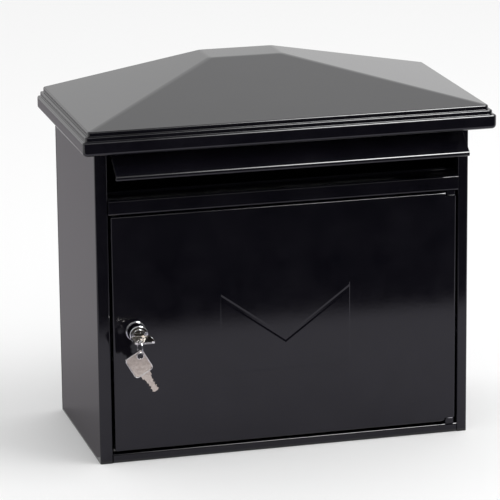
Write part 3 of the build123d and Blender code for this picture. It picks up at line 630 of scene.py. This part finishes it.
def bow_loop(bm, inset, z):
    """Edges of the bow's rounded outline, drawn in by an inset."""
    corners = [
        bm.verts.new((x * (BOW.x / 2 - inset), y * (BOW.y / 2 - inset), z))
        for x, y in ((-1, -1), (1, -1), (1, 1), (-1, 1))
    ]
    bm.faces.new(corners)
    made = bmesh.ops.bevel(
        bm, geom=corners, offset=BOW_CORNER - inset, offset_type="OFFSET", segments=BOW_STEPS, profile=0.5,
        affect="VERTICES", material=-1,
    )
    loop = in_order(edge for vert in made["verts"] for edge in vert.link_edges)
    fillings = in_order(face for edge in loop for face in edge.link_faces)
    bmesh.ops.delete(bm, geom=fillings, context="FACES_ONLY")
    return loop


def hole_loop(bm, inset, z):
    """Edges of a circle round the ring hole, drawn out by an inset."""
    place = Matrix.Translation(KEY_HOLE + Vector((0, 0, z)))
    made = bmesh.ops.create_circle(bm, radius=KEY_HOLE_RADIUS + inset, segments=HOLE_STEPS, matrix=place)
    return in_order(edge for vert in made["verts"] for edge in vert.link_edges)


def key_blank():
    """Key lying flat about the middle of its bow, its blade along -Y."""
    blank = bmesh.new()
    outer_loops = []
    fields = []
    for side in (-1, 1):
        face = side * BOW_THICKNESS / 2
        sunk = face - side * RIM_DEPTH
        rim = ((0, face), (RIM_WIDTH, face), (RIM_WIDTH + RIM_SLOPE, sunk))
        loop_kinds = [[draw(blank, inset, z) for inset, z in rim] for draw in (bow_loop, hole_loop)]
        for loops in loop_kinds:
            for pair in zip(loops, loops[1:]):
                bmesh.ops.bridge_loops(blank, edges=pair[0] + pair[1])
        outer_loops.append([loops[0] for loops in loop_kinds])
        fields.append([edge for loops in loop_kinds for edge in loops[-1]])
    for near, far in zip(*outer_loops):
        bmesh.ops.bridge_loops(blank, edges=near + far)
    # Rim faces take the second, lighter material: worn nickel that also carries a painted highlight.
    for face in blank.faces:
        face.material_index = 1
    for field in fields:
        bmesh.ops.triangle_fill(blank, use_beauty=True, edges=field, normal=(0, 0, 1))

    low = -BOW.y / 2
    tip = low - BLADE_LENGTH
    shoulder_half, shoulder_length = SHOULDER
    stop = low - shoulder_length
    edge = [(shoulder_half, low + BLADE_ROOT), (shoulder_half, stop), (BLADE_HALF, stop)]
    for number, cut in enumerate(CUT_DEPTHS):
        level = stop - CUT_PITCH * (number + 1)
        edge += [
            (BLADE_HALF, level + CUT_MOUTH / 2), (BLADE_HALF - cut, level + CUT_FLOOR / 2),
            (BLADE_HALF - cut, level - CUT_FLOOR / 2), (BLADE_HALF, level - CUT_MOUTH / 2),
        ]
    edge += [(BLADE_HALF, tip + TIP_TAPER), (TIP_HALF, tip)]
    blade = [blank.verts.new((x, y, -BLADE_THICKNESS / 2)) for x, y in edge]
    blade += [blank.verts.new((-x, y, -BLADE_THICKNESS / 2)) for x, y in reversed(edge)]
    made = bmesh.ops.extrude_face_region(blank, geom=[blank.faces.new(blade)], use_keep_orig=True)["geom"]
    raised = [item for item in made if isinstance(item, bmesh.types.BMVert)]
    bmesh.ops.translate(blank, vec=(0, 0, BLADE_THICKNESS), verts=raised)
    bmesh.ops.recalc_face_normals(blank, faces=blank.faces)
    return blank


def key_piece(name, placement, body):
    """Nickel plated key at its place."""
    blank = key_blank()
    bmesh.ops.transform(blank, matrix=placement, verts=blank.verts)
    made = piece(name, blank, satin, body, [body], cut=FINE_EDGE)
    made.data.materials.append(bright_rim)


in_lock = Matrix.Translation(BOW_PLACE) @ Matrix.Rotation(math.radians(180), 4, "Z")
key_piece("lock_key", in_lock, "key")
upright = Matrix.Rotation(SPARE_LEAN, 4, "Y") @ Matrix.Rotation(math.radians(90), 4, "X")
hanging = Matrix.Translation(SPARE_HANG) @ upright @ Matrix.Translation(-KEY_HOLE)
key_piece("hanging_key", hanging, "spare_key")

# Key ring: two turns of flat spring wire, chrome plated. It hangs in the hole of the key in the lock
# and carries the spare key.
RING_CENTRE = Vector((-149.8, -218.1, -5.95))
RING_RADIUS = 5.9
RING_BAND = 0.46
RING_WIRE = 0.32
RING_PITCH = 0.33
RING_TURN = math.radians(10)
RING_TURNS = 1.94
RING_STEPS = 128

ring_wire = bmesh.new()
wire_section = [
    ring_wire.verts.new((RING_RADIUS + x * RING_BAND, 0, z * RING_WIRE / 2 - RING_PITCH * RING_TURNS / 2))
    for x, z in ((-1, -1), (1, -1), (1, 1), (-1, 1))
]
ring_wire.faces.new(wire_section)
bmesh.ops.spin(
    ring_wire, geom=ring_wire.faces[:] + ring_wire.edges[:] + ring_wire.verts[:],
    cent=(0, 0, 0), axis=(0, 0, 1), angle=2 * math.pi * RING_TURNS, steps=RING_STEPS,
    dvec=(0, 0, RING_PITCH * RING_TURNS / RING_STEPS),
)
bmesh.ops.recalc_face_normals(ring_wire, faces=ring_wire.faces)
stand = Matrix.Rotation(RING_TURN, 4, "Z") @ Matrix.Rotation(math.radians(90), 4, "Y")
bmesh.ops.transform(ring_wire, matrix=Matrix.Translation(RING_CENTRE) @ stand, verts=ring_wire.verts)
piece("split_ring", ring_wire, chrome, "key_ring", ["key_ring"], cut=FINE_EDGE)

# Studio: a white table and a white surround, with one large softbox at the upper right. Cards that only
# show in gloss shape what the paint mirrors: a dark screen in front, a dark canopy above, a grey card
# that is a painted shadow of the box on the table at the back left, a pale runner on the table, and a strip
# light.
FLOOR_WHITE = (0.95, 0.95, 0.95, 1)
FLOOR_REACH = 6.0
FLOOR_LEVEL = UNDERSIDE * MM
FLOOR_ROUGHNESS = 0.9
SCREEN_Y = -0.635
SCREEN_BLACK = (0.01, 0.01, 0.01, 1)
SCREEN_HALF = 3.0
SCREEN_TOP = 0.5
# Painted shadow: a grey card at the back left of the table, where the box's shadow falls, seen only in
# gloss.
SHADOW_CARD_GREY = (0.42, 0.40, 0.42, 1)
BOARD = (-0.75, -0.18, -0.16, 1.6)
RUNNER_GREY = (0.66, 0.64, 0.72, 1)
RUNNER = (-1.2, 1.6, SCREEN_Y, -0.178)
RUNNER_FADE = 0.075
CANOPY = (-1.2, 1.6, -0.33, 0.6)
STRIP = (0.18, 1.3, -1.4, -0.36)
STRIP_HEIGHT = 1.5
STRIP_FADE = 0.4
STRIP_GLOW = 26.0
STRIP_WHITE = (1, 1, 1, 1)
CARD_LIFT = 0.002
SURROUND_SEEN = 1.0
SURROUND_LIGHT = 0.92
SURROUND_WHITE = (1, 1, 1, 1)
SOFTBOX_WIDTH, SOFTBOX_HEIGHT = 1.2, 0.9
SOFTBOX_POWER = 14.0
SOFTBOX_PLACE = Vector((1.05, -0.75, 1.75))
SOFTBOX_AIM = Vector((0.1, -0.1, 0.05))

floor_mesh = bmesh.new()
bmesh.ops.create_grid(floor_mesh, x_segments=1, y_segments=1, size=FLOOR_REACH)
bmesh.ops.translate(floor_mesh, vec=(0, 0, FLOOR_LEVEL), verts=floor_mesh.verts)


def stage_object(name, bm, material):
    """Object of the studio, drawn in metres."""
    mesh = bpy.data.meshes.new(name)
    bm.to_mesh(mesh)
    bm.free()
    mesh.materials.append(material)
    made = bpy.data.objects.new(name, mesh)
    bpy.context.scene.collection.objects.link(made)
    return made


table_white, table_shader, _, _ = finish("white_table")
table_shader.inputs["Base Color"].default_value = FLOOR_WHITE
table_shader.inputs["Roughness"].default_value = FLOOR_ROUGHNESS
table_shader.inputs["Specular IOR Level"].default_value = 0.0
stage_object("table", floor_mesh, table_white)


def reflected(name, colour, corners, glow=0.0, fade=None):
    """Flat card that only shows in gloss; it may glow, and its colour may rise from black along an axis."""
    material, shader, links, place = finish(name)
    shader.inputs["Specular IOR Level"].default_value = 0.0
    shader.inputs["Base Color"].default_value = SCREEN_BLACK
    shader.inputs["Emission Strength"].default_value = glow
    shown = shader.inputs["Emission Color" if glow else "Base Color"]
    shown.default_value = colour
    if fade:
        axis, start, end = fade
        axes = add_node(material, "ShaderNodeSeparateXYZ")
        links.new(place, axes.inputs["Vector"])
        rise = add_node(material, "ShaderNodeMapRange", From_Min=start, From_Max=end)
        rise.interpolation_type = "SMOOTHSTEP"
        links.new(axes.outputs[axis], rise.inputs["Value"])
        links.new(between(material, rise.outputs["Result"], SCREEN_BLACK, colour), shown)
    card_mesh = bmesh.new()
    card_mesh.faces.new([card_mesh.verts.new(corner) for corner in corners])
    card = stage_object(name, card_mesh, material)
    card.visible_camera = False
    card.visible_diffuse = False
    card.visible_shadow = False


def lying(left, right, front, rear, height):
    """Corners of a level rectangle."""
    return [(left, front, height), (right, front, height), (right, rear, height), (left, rear, height)]


screen_low = [(x, SCREEN_Y, FLOOR_LEVEL) for x in (-SCREEN_HALF, SCREEN_HALF)]
screen_high = [(x, SCREEN_Y, FLOOR_LEVEL + SCREEN_TOP) for x in (SCREEN_HALF, -SCREEN_HALF)]
reflected("dark_screen", SCREEN_BLACK, screen_low + screen_high)
reflected("dark_canopy", SCREEN_BLACK, lying(*CANOPY, STRIP_HEIGHT))
# Painted shadow of the box on the table at the back left, mirrored by the side walls.
reflected("painted_shadow_card", SHADOW_CARD_GREY, lying(*BOARD, FLOOR_LEVEL + CARD_LIFT))
reflected(
    "pale_runner", RUNNER_GREY, lying(*RUNNER, FLOOR_LEVEL + CARD_LIFT),
    fade=("Y", SCREEN_Y, SCREEN_Y + RUNNER_FADE),
)
reflected(
    "strip_light", STRIP_WHITE, lying(*STRIP, STRIP_HEIGHT), glow=STRIP_GLOW,
    fade=("X", STRIP[0], STRIP[0] + STRIP_FADE),
)

world = bpy.data.worlds.new("white_surround")
bpy.context.scene.world = world
world.use_nodes = True
world_nodes = world.node_tree.nodes
surround = world_nodes["Background"]
surround.inputs["Color"].default_value = SURROUND_WHITE
paths = world_nodes.new("ShaderNodeLightPath")
seen = paths.outputs["Is Camera Ray"]
for ray in ("Is Glossy Ray", "Is Transmission Ray"):
    either = world_nodes.new("ShaderNodeMath")
    either.operation = "MAXIMUM"
    world.node_tree.links.new(seen, either.inputs[0])
    world.node_tree.links.new(paths.outputs[ray], either.inputs[1])
    seen = either.outputs[0]
level = world_nodes.new("ShaderNodeMapRange")
level.inputs["To Min"].default_value = SURROUND_LIGHT
level.inputs["To Max"].default_value = SURROUND_SEEN
world.node_tree.links.new(seen, level.inputs["Value"])
world.node_tree.links.new(level.outputs["Result"], surround.inputs["Strength"])

softbox_data = bpy.data.lights.new("softbox", "AREA")
softbox_data.shape = "RECTANGLE"
softbox_data.size = SOFTBOX_WIDTH
softbox_data.size_y = SOFTBOX_HEIGHT
softbox_data.energy = SOFTBOX_POWER
softbox = bpy.data.objects.new("softbox", softbox_data)
softbox.location = SOFTBOX_PLACE
softbox.rotation_euler = (SOFTBOX_AIM - SOFTBOX_PLACE).to_track_quat("-Z", "Y").to_euler()
bpy.context.scene.collection.objects.link(softbox)
softbox.visible_camera = False

# Camera: a long lens above and to the left of the box, as in the photograph,
# placed by its eye point and its turn, tilt and lean.
EYE = Vector((-0.78982, -3.05252, 0.87069))
YAW, PITCH, ROLL = 0.2571, 0.264, -0.01
LENS = 238.175
SENSOR = 36.0
FAR_CLIP = 100.0

ahead = Vector((math.sin(YAW) * math.cos(PITCH), math.cos(YAW) * math.cos(PITCH), -math.sin(PITCH)))
level_right = Vector((math.cos(YAW), -math.sin(YAW), 0))
level_up = level_right.cross(ahead)
right = math.cos(ROLL) * level_right + math.sin(ROLL) * level_up
above = math.cos(ROLL) * level_up - math.sin(ROLL) * level_right
camera_data = bpy.data.cameras.new("camera")
camera_data.lens = LENS
camera_data.sensor_width = SENSOR
camera_data.clip_end = FAR_CLIP
camera = bpy.data.objects.new("camera", camera_data)
camera.matrix_world = Matrix.Translation(EYE) @ Matrix((right, above, -ahead)).transposed().to_4x4()
bpy.context.scene.collection.objects.link(camera)
bpy.context.scene.camera = camera
bpy.context.scene.view_settings.view_transform = "Standard"
